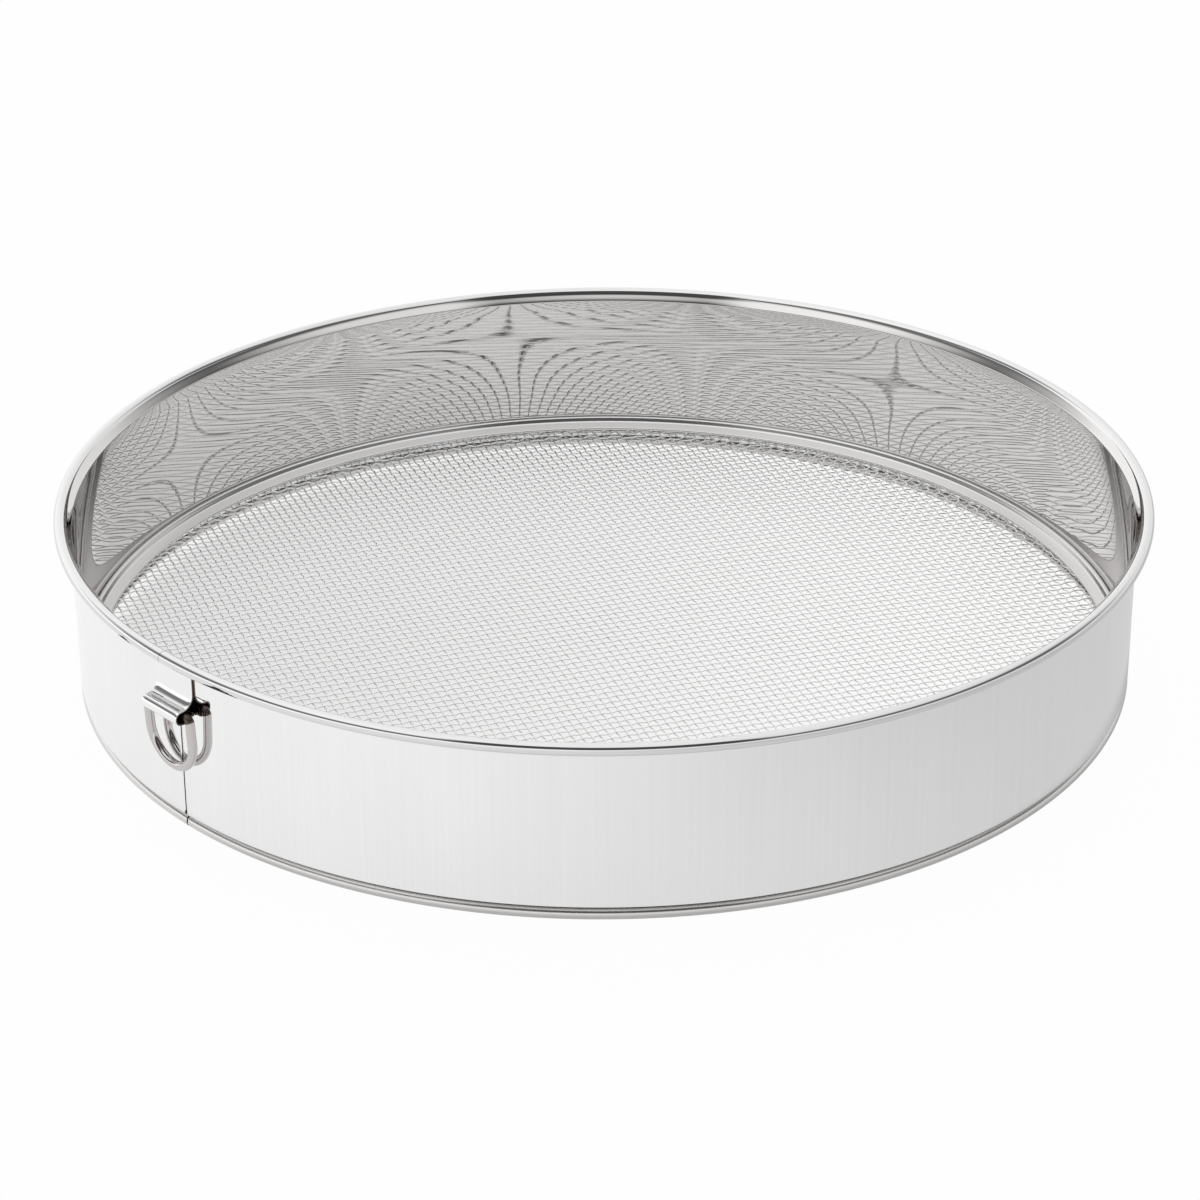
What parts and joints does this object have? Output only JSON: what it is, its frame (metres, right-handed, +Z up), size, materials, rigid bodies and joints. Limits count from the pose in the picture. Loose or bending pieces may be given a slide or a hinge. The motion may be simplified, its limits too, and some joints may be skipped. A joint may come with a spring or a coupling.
{
  "type": "drum sieve",
  "caption": "Round kitchen drum sieve: a polished steel hoop with rolled rims holds a flat woven wire cloth near its base, and a wire ring in a strap hangs it up.",
  "frame": {"origin": "Centre of the circle that the lower hem stands on, on the drum's axis.", "axes": "+Z is up along the drum's axis. The hanger is on the -Y side, and +X is to the right of someone who looks at the hanger from outside."},
  "size_m": [0.4119, 0.414, 0.07],
  "materials": {
    "sheet_steel": "polished",
    "ring_steel": "polished",
    "cloth_steel": "bright drawn wire",
    "wire_steel": "bright drawn wire"
  },
  "bodies": {
    "drum": {"drum_hoop": "sheet_steel", "top_rim_wire": "wire_steel", "bottom_rim_wire": "wire_steel", "mesh_cloth": "cloth_steel", "mesh_clamp_ring": "ring_steel", "hanger_strap": "sheet_steel"},
    "ring": {"hanging_ring": "wire_steel"}
  },
  "joints": [
    {"name": "ring_swing", "type": "hinge", "parent": "drum", "child": "ring", "pos_m": [0, -0.2037, 0.0486], "axis": [-1, 0, 0], "range_deg": [0, 165]}
  ]
}
